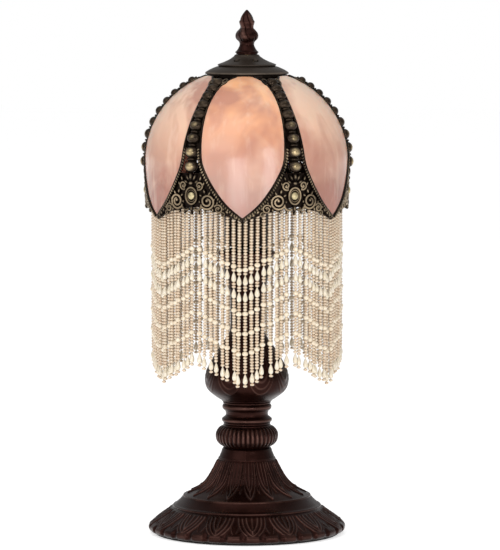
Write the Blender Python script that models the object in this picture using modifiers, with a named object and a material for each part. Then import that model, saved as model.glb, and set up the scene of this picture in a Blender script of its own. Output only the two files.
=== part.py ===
"""Bead-fringed accent lamp: six bent glass petals in cast ribs, on a turned and cast base.

Metres, +Z up. The origin is on the lamp's axis, on the surface that it stands on.
Sizes are written in millimetres and multiplied by MM where they reach Blender.
A petal is centred on -Y, and a rib on +X. The harp stands in the YZ plane.
"""

import math

import bmesh
import bpy
from mathutils import Matrix, Vector

MM = 0.001
MERGE = 0.00002
GAP = 0.3

# The stack of castings, by height
FOOT_TOP = 66.5
COLLAR_TOP = 85.0
NECK_TOP = 102.6
VASE_TOP = 191.7
CUP_TOP = 221.0
BORE = 5.1
PIPE_RADIUS = 4.8
PIPE_INNER_RADIUS = 3.6

# The dome that the glass and the ribs follow, taken at the middle of the glass
PETALS = 6
PETAL_STEP = 360 / PETALS
DOME_RADIUS = 77.4
DOME_EQUATOR = 290.0
DOME_RISE = 70.9
DOME_DROP = 250.0
GLASS_THICKNESS = 2.4
RIB_THICKNESS = 3.2
SEAM = 0.45
RIB_CROWN_Z = 354.5
RIB_FOOT_Z = 255.5
RIB_TIP_Z = 246.6
RIB_SPREAD_Z = 283.0
# A petal's half angle, in degrees, and height, from its round top to its pointed tip
PETAL_EDGE = [
    (1.0, 353.9),
    (14.6, 353.2),
    (21.8, 349.8),
    (25.1, 342.0),
    (25.6, 328.0),
    (24.8, 308.0),
    (23.2, 291.5),
    (19.8, 280.5),
    (14.0, 268.0),
    (7.6, 257.6),
    (1.0, 249.1),
]

# The beads cast on each rib, counted up from the lowest, and the boss below them
BEADS = 8
LOWEST_BEAD_Z = 289.0
BEAD_PITCH = 10.7
BEAD_SIZE = (4.7, 3.8, 3.3)
BEAD_SHRINK = 0.035
BOSS_Z = 266.7
BOSS_SIZE = (3.0, 3.6, 2.6)
CAST_STANDS_OUT = 2.0

# The fringe: a woven tape in a V behind each petal, with strands of beads under it
FRINGE_HALF_ANGLE = 28.0
FRINGE_RISE = 16.0
TAPE_FOOT_Z = 249.5
TAPE_HEIGHT = 7.0
TAPE_RADIUS = 73.7
TAPE_THICKNESS = 0.8
STRAND_TOP_Z = TAPE_FOOT_Z - 1.2
STRAND_RADIUS = 72.4
STRAND_THICKNESS = 3.0
STRAND_LENGTH = 128.0

# The socket, its key, the bulb and the harp
SADDLE_THICKNESS = 1.6
SADDLE_Z = CUP_TOP + GAP + SADDLE_THICKNESS / 2
SOCKET_RADIUS = 17.4
SOCKET_CAP_FOOT = 226.0
SOCKET_CAP_TOP = 240.0
SOCKET_TOP = 275.0
SCREW_SHELL_FOOT = 250.0
BULB_CAP_RADIUS = 13.0
BULB_CAP_FOOT = 252.8
BULB_CAP_TOP = 276.5
BULB_TOP = 335.0
KEY_Z = 245.5
KEY_TURN = 62.0
HARP_WIRE_RADIUS = 1.6
HARP_FOOT_Z = 236.3
HARP_ARCH_Z = 363.8
POST_Y = 27.0
STUD_RADIUS = 3.1

# The cord's way out of the foot
CORD_HOLE_Z = 8.5
CORD_HOLE_RADIUS = 5.1


def clear_scene():
    for obj in list(bpy.data.objects):
        bpy.data.objects.remove(obj, do_unlink=True)


def new_collection(name):
    made = bpy.data.collections.new(name)
    bpy.context.scene.collection.children.link(made)
    return made


def new_material(name, colour, roughness, metallic):
    made = bpy.data.materials.new(name)
    made.use_nodes = True
    shader = made.node_tree.nodes["Principled BSDF"]
    shader.inputs["Base Color"].default_value = (*colour, 1.0)
    shader.inputs["Roughness"].default_value = roughness
    shader.inputs["Metallic"].default_value = metallic
    made.diffuse_color = (*colour, 1.0)
    return made


clear_scene()
LAMP = new_collection("bead_fringed_lamp")
CUTTERS = new_collection("cutters")
CUTTERS.hide_render = True

BRONZE = new_material("mahogany_bronze", (0.055, 0.020, 0.014), 0.38, 0.6)
SOCKET_BRONZE = new_material("socket_bronze", (0.05, 0.03, 0.02), 0.40, 0.6)
RIB_BRONZE = new_material("antique_rib_bronze", (0.060, 0.045, 0.028), 0.42, 0.8)
PINK_GLASS = new_material("pink_art_glass", (0.80, 0.44, 0.34), 0.18, 0.0)
PEARL = new_material("pearl_bead", (0.76, 0.66, 0.52), 0.25, 0.0)
TAPE = new_material("woven_tape", (0.66, 0.60, 0.42), 0.85, 0.0)
FELT = new_material("dark_felt", (0.012, 0.010, 0.009), 0.95, 0.0)
STEEL = new_material("zinc_plated_steel", (0.55, 0.55, 0.56), 0.35, 1.0)
BRASS = new_material("brass", (0.70, 0.50, 0.22), 0.30, 1.0)
PHENOLIC = new_material("dark_phenolic", (0.03, 0.022, 0.02), 0.45, 0.0)
FIBRE = new_material("fibre_liner", (0.35, 0.25, 0.16), 0.90, 0.0)
PORCELAIN = new_material("porcelain", (0.80, 0.78, 0.74), 0.30, 0.0)
FROSTED = new_material("frosted_bulb_glass", (0.92, 0.91, 0.88), 0.30, 0.0)


def add_object(name, data, material, collection=LAMP):
    made = bpy.data.objects.new(name, data)
    collection.objects.link(made)
    if material:
        data.materials.append(material)
    return made


def add_cutter(name, data):
    made = add_object(name, data, None, CUTTERS)
    made.hide_render = True
    made.display_type = "WIRE"
    return made


def smooth(mesh, degrees=35):
    mesh.shade_smooth()
    mesh.set_sharp_from_angle(angle=math.radians(degrees))


def turned(name, outline, material, steps=32, ring=False):
    """A lathe-turned piece. The outline runs down its outer side; a ring's outline closes on itself."""
    mesh = bpy.data.meshes.new(name)
    points = [(radius * MM, 0.0, z * MM) for radius, z in outline]
    edges = [(i, i + 1) for i in range(len(points) - 1)]
    if ring:
        edges.append((len(points) - 1, 0))
    mesh.from_pydata(points, edges, [])
    made = add_object(name, mesh, material)
    screw = made.modifiers.new("lathe", "SCREW")
    screw.axis = "Z"
    screw.steps = screw.render_steps = steps
    screw.use_merge_vertices = True
    screw.merge_threshold = MERGE
    screw.use_smooth_shade = True
    return made


def boolean(target, other, operation):
    made = target.modifiers.new(f"{operation.lower()}_{other.name}", "BOOLEAN")
    made.operation = operation
    made.object = other
    made.solver = "EXACT"
    return made


def cylinder_mesh(name, radius, low, high, sides, turn=None):
    """A closed cylinder along Z from low to high, in millimetres, then turned by a matrix."""
    mesh = bpy.data.meshes.new(name)
    bm = bmesh.new()
    bmesh.ops.create_cone(
        bm,
        cap_ends=True,
        segments=sides,
        radius1=radius * MM,
        radius2=radius * MM,
        depth=(high - low) * MM,
        matrix=Matrix.Translation((0, 0, (low + high) / 2 * MM)),
    )
    if turn:
        bm.transform(turn)
    bm.to_mesh(mesh)
    bm.free()
    return mesh


def hex_nut(name, across, low, high, bore, material):
    made = add_object(name, cylinder_mesh(name, across / math.sqrt(3), low, high, 6), material)
    cutter = add_cutter(f"{name}_bore", cylinder_mesh(f"{name}_bore", bore, low - 5, high + 5, 20))
    boolean(made, cutter, "DIFFERENCE")
    return made


# ---- The dome's own geometry ----


def dome_radius(z):
    reach = DOME_RISE if z > DOME_EQUATOR else DOME_DROP
    return DOME_RADIUS * math.sqrt(1 - ((z - DOME_EQUATOR) / reach) ** 2)


def dome_normal(z):
    """(outward, upward) parts of the dome's unit normal at a height."""
    reach = DOME_RISE if z > DOME_EQUATOR else DOME_DROP
    normal = Vector((dome_radius(z) / DOME_RADIUS**2, (z - DOME_EQUATOR) / reach**2))
    return normal.normalized()


def around(radius, azimuth, z):
    """A point in metres. Azimuth 0 is -Y, and it grows towards +X."""
    turn = math.radians(azimuth)
    return Vector((radius * math.sin(turn), -radius * math.cos(turn), z)) * MM


def dome_point(azimuth, z, stands_out=0.0):
    normal = dome_normal(z)
    return around(dome_radius(z) + normal.x * stands_out, azimuth, z + normal.y * stands_out)


def climb(z, arc):
    """The height reached from z after going up the dome's own curve by arc."""
    step = 0.1
    for _ in range(round(arc / step)):
        z += step * dome_normal(z).x
    return z


def add_sheet(name, rows, material, thickness):
    """A curved shell: an open grid of points along its middle, made solid to both sides."""
    bm = bmesh.new()
    grid = [[bm.verts.new(point) for point in row] for row in rows]
    for upper, lower in zip(grid, grid[1:]):
        for j in range(len(upper) - 1):
            bm.faces.new((upper[j], lower[j], lower[j + 1], upper[j + 1]))
    mesh = bpy.data.meshes.new(name)
    bm.to_mesh(mesh)
    bm.free()
    smooth(mesh)
    made = add_object(name, mesh, material)
    solid = made.modifiers.new("thickness", "SOLIDIFY")
    solid.thickness = thickness * MM
    solid.offset = 0
    return made


def add_glass_petal(index):
    azimuth = index * PETAL_STEP
    shares = (-1, -0.5, 0, 0.5, 1)
    rows = [[dome_point(azimuth + half * share, z) for share in shares] for half, z in PETAL_EDGE]
    add_sheet(f"glass_petal_{index + 1}", rows, PINK_GLASS, GLASS_THICKNESS)


def rib_edge():
    """The rib's half angle and height beside each point of a petal's edge, and on under the petals' tips."""
    for i, (half, z) in enumerate(PETAL_EDGE):
        if i == 0:
            z = RIB_CROWN_Z
            half = 0
        elif i == len(PETAL_EDGE) - 1:
            z = RIB_TIP_Z
            half = 0
        yield PETAL_STEP / 2 - half - math.degrees(SEAM / dome_radius(z)), z


def rib_middle(z):
    """The height of the rib's middle line in the row whose ends are at z. The foot is an arch."""
    if z > RIB_SPREAD_Z:
        return z
    share = (RIB_SPREAD_Z - z) / (RIB_SPREAD_Z - RIB_TIP_Z)
    return RIB_SPREAD_Z - share * (RIB_SPREAD_Z - RIB_FOOT_Z)


def add_raised(bm, azimuth, z, size):
    """An egg cast on a rib. Its size is its half width, half height and half depth."""
    normal = dome_normal(z)
    turn = math.radians(azimuth)
    outward = Vector((normal.x * math.sin(turn), -normal.x * math.cos(turn), normal.y))
    sideways = Vector((math.cos(turn), math.sin(turn), 0))
    upward = outward.cross(sideways)
    width, length, depth = size
    frame = Matrix((sideways * width, outward * depth, upward * length)).transposed().to_4x4()
    place = Matrix.Translation(dome_point(azimuth, z, CAST_STANDS_OUT)) @ frame
    bmesh.ops.create_uvsphere(bm, u_segments=6, v_segments=4, radius=MM, matrix=place)


def add_rib(index):
    """A cast rib: a narrow stem under its beads, which widens into a triangle between two petal tips."""
    azimuth = (index + 0.5) * PETAL_STEP
    rows = []
    for side, z in rib_edge():
        middle = rib_middle(z)
        shares = (-1, -0.5, 0, 0.5, 1)
        rows.append([dome_point(azimuth + side * s, middle + (z - middle) * abs(s)) for s in shares])
    made = add_sheet(f"rib_{index + 1}", rows, RIB_BRONZE, RIB_THICKNESS)
    bm = bmesh.new()
    z = LOWEST_BEAD_Z
    for k in range(BEADS):
        add_raised(bm, azimuth, z, [half * (1 - BEAD_SHRINK * k) for half in BEAD_SIZE])
        z = climb(z, BEAD_PITCH)
    add_raised(bm, azimuth, BOSS_Z, BOSS_SIZE)
    mesh = bpy.data.meshes.new(f"rib_{index + 1}_beads")
    bm.to_mesh(mesh)
    bm.free()
    boolean(made, add_cutter(f"rib_{index + 1}_beads", mesh), "UNION")


def add_curtain(name, index, top_z, height, radius, thickness, material):
    """A thin curved sheet behind one petal. Its top and foot edges are Vs that point down."""
    columns = 8
    turns = [FRINGE_HALF_ANGLE * (2 * j / columns - 1) for j in range(columns + 1)]
    rows = []
    for low in (0, height):
        row = []
        for turn in turns:
            z = top_z + FRINGE_RISE * abs(turn) / FRINGE_HALF_ANGLE - low
            row.append(around(radius, index * PETAL_STEP + turn, z))
        rows.append(row)
    return add_sheet(name, rows, material, thickness)


def add_fringe(index):
    tape_top = TAPE_FOOT_Z + TAPE_HEIGHT
    add_curtain(f"fringe_tape_{index + 1}", index, tape_top, TAPE_HEIGHT, TAPE_RADIUS, TAPE_THICKNESS, TAPE)
    strands = f"fringe_strands_{index + 1}"
    add_curtain(strands, index, STRAND_TOP_Z, STRAND_LENGTH, STRAND_RADIUS, STRAND_THICKNESS, PEARL)


# ---- The base ----


def add_foot():
    outer = [(BORE, FOOT_TOP), (18.7, FOOT_TOP), (22.1, 59), (26.4, 49.7), (32.6, 40.8)]
    outer += [(40.4, 35.2), (49.4, 29.4), (57.0, 21.4), (69.6, 12.6)]
    outer += [(75.2, 8.6), (76.5, 5.6), (73.6, 2.3)]
    inner = [(70.2, 2.3), (72.0, 6.4), (54.0, 19.0), (46.8, 26.6), (29.6, 38.6), (18.6, 58.0), (BORE, 63.2)]
    foot = turned("base_foot", outer + inner, BRONZE, 32, ring=True)
    turn = Matrix.Translation((0, 0, CORD_HOLE_Z * MM)) @ Matrix.Rotation(math.radians(-90), 4, "X")
    mesh = cylinder_mesh("cord_hole", CORD_HOLE_RADIUS, 60, 90, 16, turn)
    boolean(foot, add_cutter("cord_hole", mesh), "DIFFERENCE")


def add_cord_bushing():
    """A turned grommet whose axis lies along Y, with its flange outside the foot."""
    outline = [(3.4, 78.3), (6.0, 78.3), (6.0, 76.8), (4.7, 76.8), (4.7, 66.5), (3.4, 66.5)]
    bushing = turned("cord_bushing", outline, PHENOLIC, 16, ring=True)
    bushing.location = (0, 0, CORD_HOLE_Z * MM)
    bushing.rotation_euler = (math.radians(-90), 0, 0)


def add_underside():
    turned("felt_pad", [(0, 2.0), (71.5, 2.0), (71.5, 0), (0, 0)], FELT, 36)
    ballast = [(BORE, 27.5), (42.0, 27.5), (44.0, 25.5), (44.0, 12.5), (BORE, 12.5)]
    turned("ballast_weight", ballast, STEEL, 24, ring=True)
    turned("foot_washer", [(BORE, 12.2), (12.0, 12.2), (12.0, 10.6), (BORE, 10.6)], STEEL, 16, ring=True)
    hex_nut("foot_nut", 15.0, 6.6, 10.3, BORE, STEEL)


def add_stem():
    foot_z = FOOT_TOP + GAP
    collar = [(BORE, COLLAR_TOP), (18.5, COLLAR_TOP), (22.4, 81.4), (23.9, 76.0), (22.2, 70.6), (18.8, foot_z)]
    turned("gadroon_collar", collar + [(BORE, foot_z)], BRONZE, 28, ring=True)

    foot_z = COLLAR_TOP + GAP
    neck = [(BORE, NECK_TOP), (18.2, NECK_TOP), (19.0, 98.4), (16.6, 94.6), (16.4, 91.4), (19.4, 88.2)]
    turned("ringed_neck", neck + [(18.2, foot_z), (BORE, foot_z)], BRONZE, 24, ring=True)

    foot_z = NECK_TOP + GAP
    vase = [(BORE, VASE_TOP), (14.0, VASE_TOP), (12.9, 186), (12.9, 162), (18.6, 150.0), (30.6, 127.5)]
    vase += [(32.4, 120.4), (28.7, 110.3), (20.6, foot_z), (17.6, foot_z), (25.8, 112.6), (29.0, 120.4)]
    vase += [(15.6, 148.6), (10.2, 160.0), (10.2, 187), (BORE, 188.8)]
    turned("vase_body", vase, BRONZE, 24, ring=True)

    foot_z = VASE_TOP + GAP
    cup = [(15.6, CUP_TOP), (18.6, CUP_TOP), (23.0, 217.6), (17.8, 211.0), (17.8, 201.0)]
    cup += [(14.2, foot_z), (BORE, foot_z), (BORE, 194.2), (12.8, 194.2), (15.6, 199.0)]
    turned("socket_cup", cup, BRONZE, 24, ring=True)

    pipe = [(PIPE_INNER_RADIUS, 236.0), (PIPE_RADIUS, 236.0), (PIPE_RADIUS, 5.0), (PIPE_INNER_RADIUS, 5.0)]
    turned("lamp_pipe", pipe, STEEL, 16, ring=True)


# ---- The harp ----


def harp_leg():
    """The centre line of the wire's front leg, from its foot to the top of the arch, as (y, z)."""
    guide = [(27.0, HARP_FOOT_Z), (27.0, 252), (33.5, 268), (36.5, 296), (33.5, 330), (22.0, 355)]
    guide += [(0, HARP_ARCH_Z), (-22.0, 355)]
    samples = 2
    found = [Vector(guide[0])]
    for a, b, c, d in zip(guide, guide[1:], guide[2:], guide[3:]):
        a, b, c, d = Vector(a), Vector(b), Vector(c), Vector(d)
        for k in range(samples):
            t = k / samples
            curve = 2 * b + (c - a) * t + (2 * a - 5 * b + 4 * c - d) * t**2
            found.append((curve + (3 * b - a - 3 * c + d) * t**3) / 2)
    return found


def add_harp():
    curve = bpy.data.curves.new("harp_wire", "CURVE")
    curve.dimensions = "3D"
    curve.bevel_depth = HARP_WIRE_RADIUS * MM
    curve.bevel_resolution = 1
    curve.use_fill_caps = True
    leg = harp_leg()
    line = [(-y, z) for y, z in leg] + [(0, HARP_ARCH_Z)] + [(y, z) for y, z in reversed(leg)]
    spline = curve.splines.new("POLY")
    spline.points.add(len(line) - 1)
    for point, (y, z) in zip(spline.points, line):
        point.co = (0, y * MM, z * MM, 1)
    add_object("harp_wire", curve, SOCKET_BRONZE)

    stud = [(0, 380.0), (2.4, 380.0), (STUD_RADIUS, 379.3), (STUD_RADIUS, 369.1), (6.0, 369.1)]
    stud += [(6.0, 365.8), (0, 365.8)]
    turned("harp_stud", stud, BRASS, 16)

    mesh = bpy.data.meshes.new("harp_saddle")
    bm = bmesh.new()
    place = Matrix.Translation((0, 0, SADDLE_Z * MM))
    size = Matrix.Diagonal((12 * MM, (2 * POST_Y + 8) * MM, SADDLE_THICKNESS * MM, 1))
    bmesh.ops.create_cube(bm, size=1, matrix=place @ size)
    bm.to_mesh(mesh)
    bm.free()
    saddle = add_object("harp_saddle", mesh, SOCKET_BRONZE)
    for side, y in (("front", -POST_Y), ("back", POST_Y)):
        turn = Matrix.Translation((0, y * MM, 0))
        post = cylinder_mesh(f"saddle_post_{side}", HARP_WIRE_RADIUS, SADDLE_Z, HARP_FOOT_Z - GAP, 10, turn)
        boolean(saddle, add_cutter(f"saddle_post_{side}", post), "UNION")
        sleeve = [(2.1, 243.0), (2.8, 243.0), (3.3, 242.0), (3.3, 230.5), (2.1, 230.5)]
        ferrule = turned(f"harp_ferrule_{side}", sleeve, SOCKET_BRONZE, 14, ring=True)
        ferrule.location = (0, y * MM, 0)
    hole = cylinder_mesh("saddle_hole", BORE, SADDLE_Z - 5, SADDLE_Z + 5, 16)
    boolean(saddle, add_cutter("saddle_hole", hole), "DIFFERENCE")
    nut_foot = SADDLE_Z + SADDLE_THICKNESS / 2 + GAP
    hex_nut("saddle_nut", 15.0, nut_foot, SOCKET_CAP_FOOT - GAP, BORE, SOCKET_BRONZE)


# ---- The socket, its turn key and the bulb ----


def add_socket():
    cap = [(BORE, 229.0), (12.0, 229.0), (15.8, 232.5), (15.8, SOCKET_CAP_TOP)]
    cap += [(SOCKET_RADIUS, SOCKET_CAP_TOP), (SOCKET_RADIUS, 230.5)]
    cap += [(13.5, SOCKET_CAP_FOOT), (BORE, SOCKET_CAP_FOOT)]
    turned("socket_cap", cap, SOCKET_BRONZE, 24, ring=True)

    foot_z = SOCKET_CAP_TOP + GAP
    shell = [(16.2, SOCKET_TOP), (SOCKET_RADIUS, SOCKET_TOP), (SOCKET_RADIUS, foot_z), (16.2, foot_z)]
    shell = turned("socket_shell", shell, SOCKET_BRONZE, 24, ring=True)
    liner = [(14.6, 273.5), (15.9, 273.5), (15.9, foot_z), (14.6, foot_z)]
    liner = turned("socket_liner", liner, FIBRE, 24, ring=True)
    core_top = SCREW_SHELL_FOOT - GAP
    core = [(0, core_top), (14.2, core_top), (14.2, foot_z), (0, foot_z)]
    core = turned("socket_core", core, PORCELAIN, 24)
    screw_shell = [(13.4, 272.5), (14.2, 272.5), (14.2, SCREW_SHELL_FOOT), (13.4, SCREW_SHELL_FOOT)]
    turned("screw_shell", screw_shell, BRASS, 24, ring=True)
    turned("centre_contact", [(0, 251.2), (3.0, 251.2), (3.5, 250.0), (0, 250.0)], BRASS, 12)

    turn = key_turn()
    hole = add_cutter("key_hole", cylinder_mesh("key_hole", 2.4, 8.0, 24.0, 12, turn))
    for piece in (shell, liner, core):
        boolean(piece, hole, "DIFFERENCE")


def key_turn():
    """Carries +Z onto the key's axis, which runs out from the socket's middle between +X and +Y."""
    sideways = Matrix.Rotation(math.radians(KEY_TURN), 4, "Z") @ Matrix.Rotation(math.radians(90), 4, "Y")
    return Matrix.Translation((0, 0, KEY_Z * MM)) @ sideways


def add_key():
    mesh = cylinder_mesh("key_shaft", 1.4, 9.0, 25.0, 10, key_turn())
    shaft = add_object("key_shaft", mesh, SOCKET_BRONZE)
    smooth(shaft.data)
    mesh = bpy.data.meshes.new("key_knob")
    bm = bmesh.new()
    squash = Matrix.Diagonal((1.0, 0.48, 1.0, 1.0))
    place = key_turn() @ Matrix.Translation((0, 0, 29.5 * MM)) @ squash
    bmesh.ops.create_uvsphere(bm, u_segments=12, v_segments=6, radius=5.6 * MM, matrix=place)
    bm.to_mesh(mesh)
    bm.free()
    smooth(mesh, 60)
    knob = add_object("key_knob", mesh, PHENOLIC)
    hole = cylinder_mesh("knob_hole", 1.7, 10.0, 25.0 + GAP, 10, key_turn())
    boolean(knob, add_cutter("knob_hole", hole), "DIFFERENCE")


def add_bulb():
    glass_foot = BULB_CAP_TOP + GAP
    glass = [(0, BULB_TOP), (9.0, 333.2), (18.4, 326.8), (23.2, 317.4), (23.6, 306.0)]
    glass += [(17.4, 289.5), (13.2, glass_foot), (0, glass_foot)]
    turned("bulb_glass", glass, FROSTED, 20)
    cap = [(0, BULB_CAP_TOP), (BULB_CAP_RADIUS, BULB_CAP_TOP), (BULB_CAP_RADIUS, 257.0), (5.2, BULB_CAP_FOOT)]
    cap += [(0, BULB_CAP_FOOT)]
    turned("bulb_cap", cap, BRASS, 20)
    turned("bulb_contact", [(0, 252.5), (3.8, 252.5), (3.2, 251.6), (0, 251.6)], STEEL, 12)


# ---- The crown and the finial ----


def add_crown():
    ring = [(26.0, 357.0), (30.0, 357.0), (30.9, 356.0), (30.9, 353.8), (26.0, 353.8)]
    turned("crown_ring", ring, RIB_BRONZE, 28, ring=True)
    cap = [(3.6, 371.3), (9.4, 371.3), (16.6, 366.3), (22.2, 362.9), (29.4, 359.4), (31.8, 357.3)]
    cap += [(29.8, 357.3), (20.2, 361.6), (15.6, 364.3), (8.8, 369.4), (3.6, 369.4)]
    vase_cap = turned("vase_cap", cap, BRONZE, 28, ring=True)
    for k in range(PETALS):
        turn = Matrix.Rotation(math.radians(PETAL_STEP * k), 4, "Z") @ Matrix.Translation((15.4 * MM, 0, 0))
        vent = cylinder_mesh(f"cap_vent_{k + 1}", 1.9, 355, 375, 8, turn)
        boolean(vase_cap, add_cutter(f"cap_vent_{k + 1}", vent), "DIFFERENCE")


def add_finial():
    foot_z = 371.3 + GAP
    finial = [(0, 406.0), (2.6, 404.2), (5.8, 397.6), (6.3, 395.6), (5.2, 391.8), (8.2, 387.8)]
    finial += [(8.4, 384.0), (5.8, 380.4), (9.0, 373.6), (9.0, foot_z), (4.9, foot_z), (4.9, 383.0)]
    finial += [(0, 383.6)]
    turned("finial", finial, BRONZE, 20)
    insert = [(3.4, 382.0), (4.6, 382.0), (4.6, foot_z), (3.4, foot_z)]
    turned("finial_insert", insert, BRASS, 16, ring=True)


add_foot()
add_cord_bushing()
add_underside()
add_stem()
add_harp()
add_socket()
add_key()
add_bulb()
for petal in range(PETALS):
    add_glass_petal(petal)
    add_rib(petal)
    add_fringe(petal)
add_crown()
add_finial()
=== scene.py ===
"""The looks of a bead-fringed accent lamp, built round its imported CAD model.

Lengths are written in millimetres and multiplied by MM where they reach Blender.
Azimuth 0 is -Y, the lamp's front, and it grows towards +X. Angles are in degrees.
"""

import math
import random

import bmesh
import bpy
from mathutils import Matrix, Vector


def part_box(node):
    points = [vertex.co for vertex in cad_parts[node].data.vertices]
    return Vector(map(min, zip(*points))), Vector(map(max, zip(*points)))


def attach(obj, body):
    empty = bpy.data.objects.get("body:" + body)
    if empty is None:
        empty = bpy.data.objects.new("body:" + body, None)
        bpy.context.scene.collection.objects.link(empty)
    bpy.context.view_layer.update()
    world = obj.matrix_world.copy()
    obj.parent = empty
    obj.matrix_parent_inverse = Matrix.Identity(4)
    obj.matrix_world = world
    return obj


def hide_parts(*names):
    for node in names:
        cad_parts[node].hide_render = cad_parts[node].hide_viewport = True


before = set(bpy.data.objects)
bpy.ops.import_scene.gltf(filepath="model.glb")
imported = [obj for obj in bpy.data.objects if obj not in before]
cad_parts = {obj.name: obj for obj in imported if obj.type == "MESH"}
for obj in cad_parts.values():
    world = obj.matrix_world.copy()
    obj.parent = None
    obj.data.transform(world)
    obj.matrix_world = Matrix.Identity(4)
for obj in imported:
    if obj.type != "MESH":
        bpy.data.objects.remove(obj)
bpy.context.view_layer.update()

MM = 0.001
# Points closer than this are joined
WELD = 0.001
BORE = 5.1


def low_z(node):
    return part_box(node)[0].z / MM


def high_z(node):
    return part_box(node)[1].z / MM


def ends(node):
    """A node's lowest and highest z."""
    return low_z(node), high_z(node)


# ---- Driving dimensions ----

# The dome that the glass and the ribs follow, at the middle of the glass
PETALS = 6
STEP = 360 / PETALS
DOME_EQUATOR = 290.0
DOME_RISE = 70.9
DOME_DROP = 250.0
GLASS_THICKNESS = 2.4
DOME_RADIUS = -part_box("glass_petal_1")[0].y / MM - GLASS_THICKNESS / 2
GLASS_TIP_Z = low_z("glass_petal_1") + 0.2
# A petal's half angle and height, from its round top to its pointed tip
PETAL_EDGE = [
    (0.0, 354.4),
    (9.0, 354.2),
    (15.5, 353.0),
    (21.4, 350.0),
    (24.6, 344.0),
    (25.7, 334.0),
    (25.4, 320.0),
    (24.5, 304.0),
    (23.4, 292.0),
    (20.4, 282.0),
    (15.2, 270.2),
    (8.6, 259.0),
    (0.0, GLASS_TIP_Z),
]
CAME_WIDTH = 2.4
# The channels start this many samples down the petal's edge, and are roped below a height
CAME_START = 8
ROPE_TOP_Z = 302.0
ROPE_PITCH = 2.15

BEADS = 9
LOWEST_BEAD_Z = 289.0
BEAD_PITCH = 10.7
TOP_BEAD_PITCH = 7.4
BEAD_SIZE = (5.4, 4.2, 4.5)
TOP_BEAD_SIZE = (4.7, 3.8, 3.5)
BEAD_OUT = 0.9
BOSS_Z = 266.7

STRANDS = (16, 17)
STRAND_SPAN = 69.0
STRAND_RADIUS = 72.4
FRINGE_HALF_ANGLE = 28.0
FRINGE_RISE = 16.0
STRAND_TOP_Z = high_z("fringe_strands_1") - FRINGE_RISE
TAPE_FOOT_Z = low_z("fringe_tape_1")
# A bead is (radius, height)
SEED = (1.62, 2.25)
PEARL = (2.25, 4.0)
DROP = (2.0, 8.0)
# A strand from its top: s is a seed bead, p a round pearl and d a drop
STRING = "s" * 16 + "psdssdsss" + "psssss" * 2 + "pssssssds"
STRAND_LENGTH = 128.0
THREAD_RADIUS = 0.3
TAPE_WIDTH = 10.0
TAPE_HALF_THICKNESS = 0.3

FLANGE_HEIGHTS = (350.5, 352.2, 353.8, 355.4, 356.8)
FLANGE_DEPTH = 1.9
FLANGE_THICKNESS = 1.1

FOOT_LEAVES = 16
FOOT_TURN = 6.0
RIM_BLOCKS = 32
RIM_DEPTH = 1.6
GADROONS = 40
# The cap's vents: their distance from the axis, and the half width, half depth and height that they cut
VENT_RADIUS = 14.2
VENT_CUT = (2.6, 2.3, 30.0)
HARP_WIRE_RADIUS = 1.6
COLLAR_MIDDLE_Z = (low_z("gadroon_collar") + high_z("gadroon_collar")) / 2


# ---- Camera, lights and floor ----

CAMERA_DISTANCE = 3.2
CAMERA_HEIGHT = 0.48
CAMERA_AZIMUTH = 2.5
VIEW_HEIGHT = 0.4258
AIM_Z = 0.2007
AIM_RIGHT = 0.0024

AMBIENT = 0.42
FLOOR_SIZE = 14.0
FLOOR_GAP = 0.2
FLOOR_GLOW = 0.62
SOFTBOX_DISTANCE = 2.0
# Each is (name, azimuth, elevation, size, power)
SOFTBOXES = [
    ("front_softbox", -8, -2, (0.70, 0.70), 7),
    ("strip_softbox", 28, 3, (0.45, 1.20), 8),
    ("key_softbox", -38, 38, (1.70, 1.70), 12),
    ("top_softbox", 20, 75, (2.20, 2.20), 10),
]


def look_at(obj, target):
    obj.rotation_euler = (target - obj.location).to_track_quat("-Z", "Y").to_euler()


def add_camera():
    camera = bpy.data.objects.new("camera", bpy.data.cameras.new("camera"))
    bpy.context.scene.collection.objects.link(camera)
    turn = math.radians(CAMERA_AZIMUTH)
    camera.location = (CAMERA_DISTANCE * math.sin(turn), -CAMERA_DISTANCE * math.cos(turn), CAMERA_HEIGHT)
    aim = Vector((AIM_RIGHT * math.cos(turn), AIM_RIGHT * math.sin(turn), AIM_Z))
    look_at(camera, aim)
    camera.data.sensor_fit = "VERTICAL"
    camera.data.sensor_height = 24
    reach = (aim - camera.location).length
    camera.data.lens = camera.data.sensor_height / 2 / (VIEW_HEIGHT / 2 / reach)
    camera.data.clip_end = 20
    bpy.context.scene.camera = camera


def add_softbox(name, location, size, power, target=(0, 0, 0.2)):
    data = bpy.data.lights.new(name, "AREA")
    data.shape = "RECTANGLE"
    data.size, data.size_y = size
    data.energy = power
    light = bpy.data.objects.new(name, data)
    bpy.context.scene.collection.objects.link(light)
    light.location = location
    look_at(light, Vector(target))


def add_studio():
    """A white surround for the camera, which lights the lamp more dimly, and four softboxes."""
    world = bpy.data.worlds.new("studio")
    world.use_nodes = True
    background = world.node_tree.nodes["Background"]
    background.inputs["Color"].default_value = (1, 1, 1, 1)
    path = add_node(world.node_tree, "ShaderNodeLightPath")
    seen = {"Value": path.outputs["Is Camera Ray"], "To Min": AMBIENT, "To Max": 1.0}
    strength = add_node(world.node_tree, "ShaderNodeMapRange", seen).outputs["Result"]
    world.node_tree.links.new(strength, background.inputs["Strength"])
    bpy.context.scene.world = world
    bpy.context.scene.view_settings.view_transform = "Standard"
    for name, azimuth, elevation, size, power in SOFTBOXES:
        turn = math.radians(azimuth)
        rise = math.radians(elevation)
        away = SOFTBOX_DISTANCE * math.cos(rise)
        place = (away * math.sin(turn), -away * math.cos(turn), 0.25 + SOFTBOX_DISTANCE * math.sin(rise))
        add_softbox(name, place, size, power)


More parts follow.
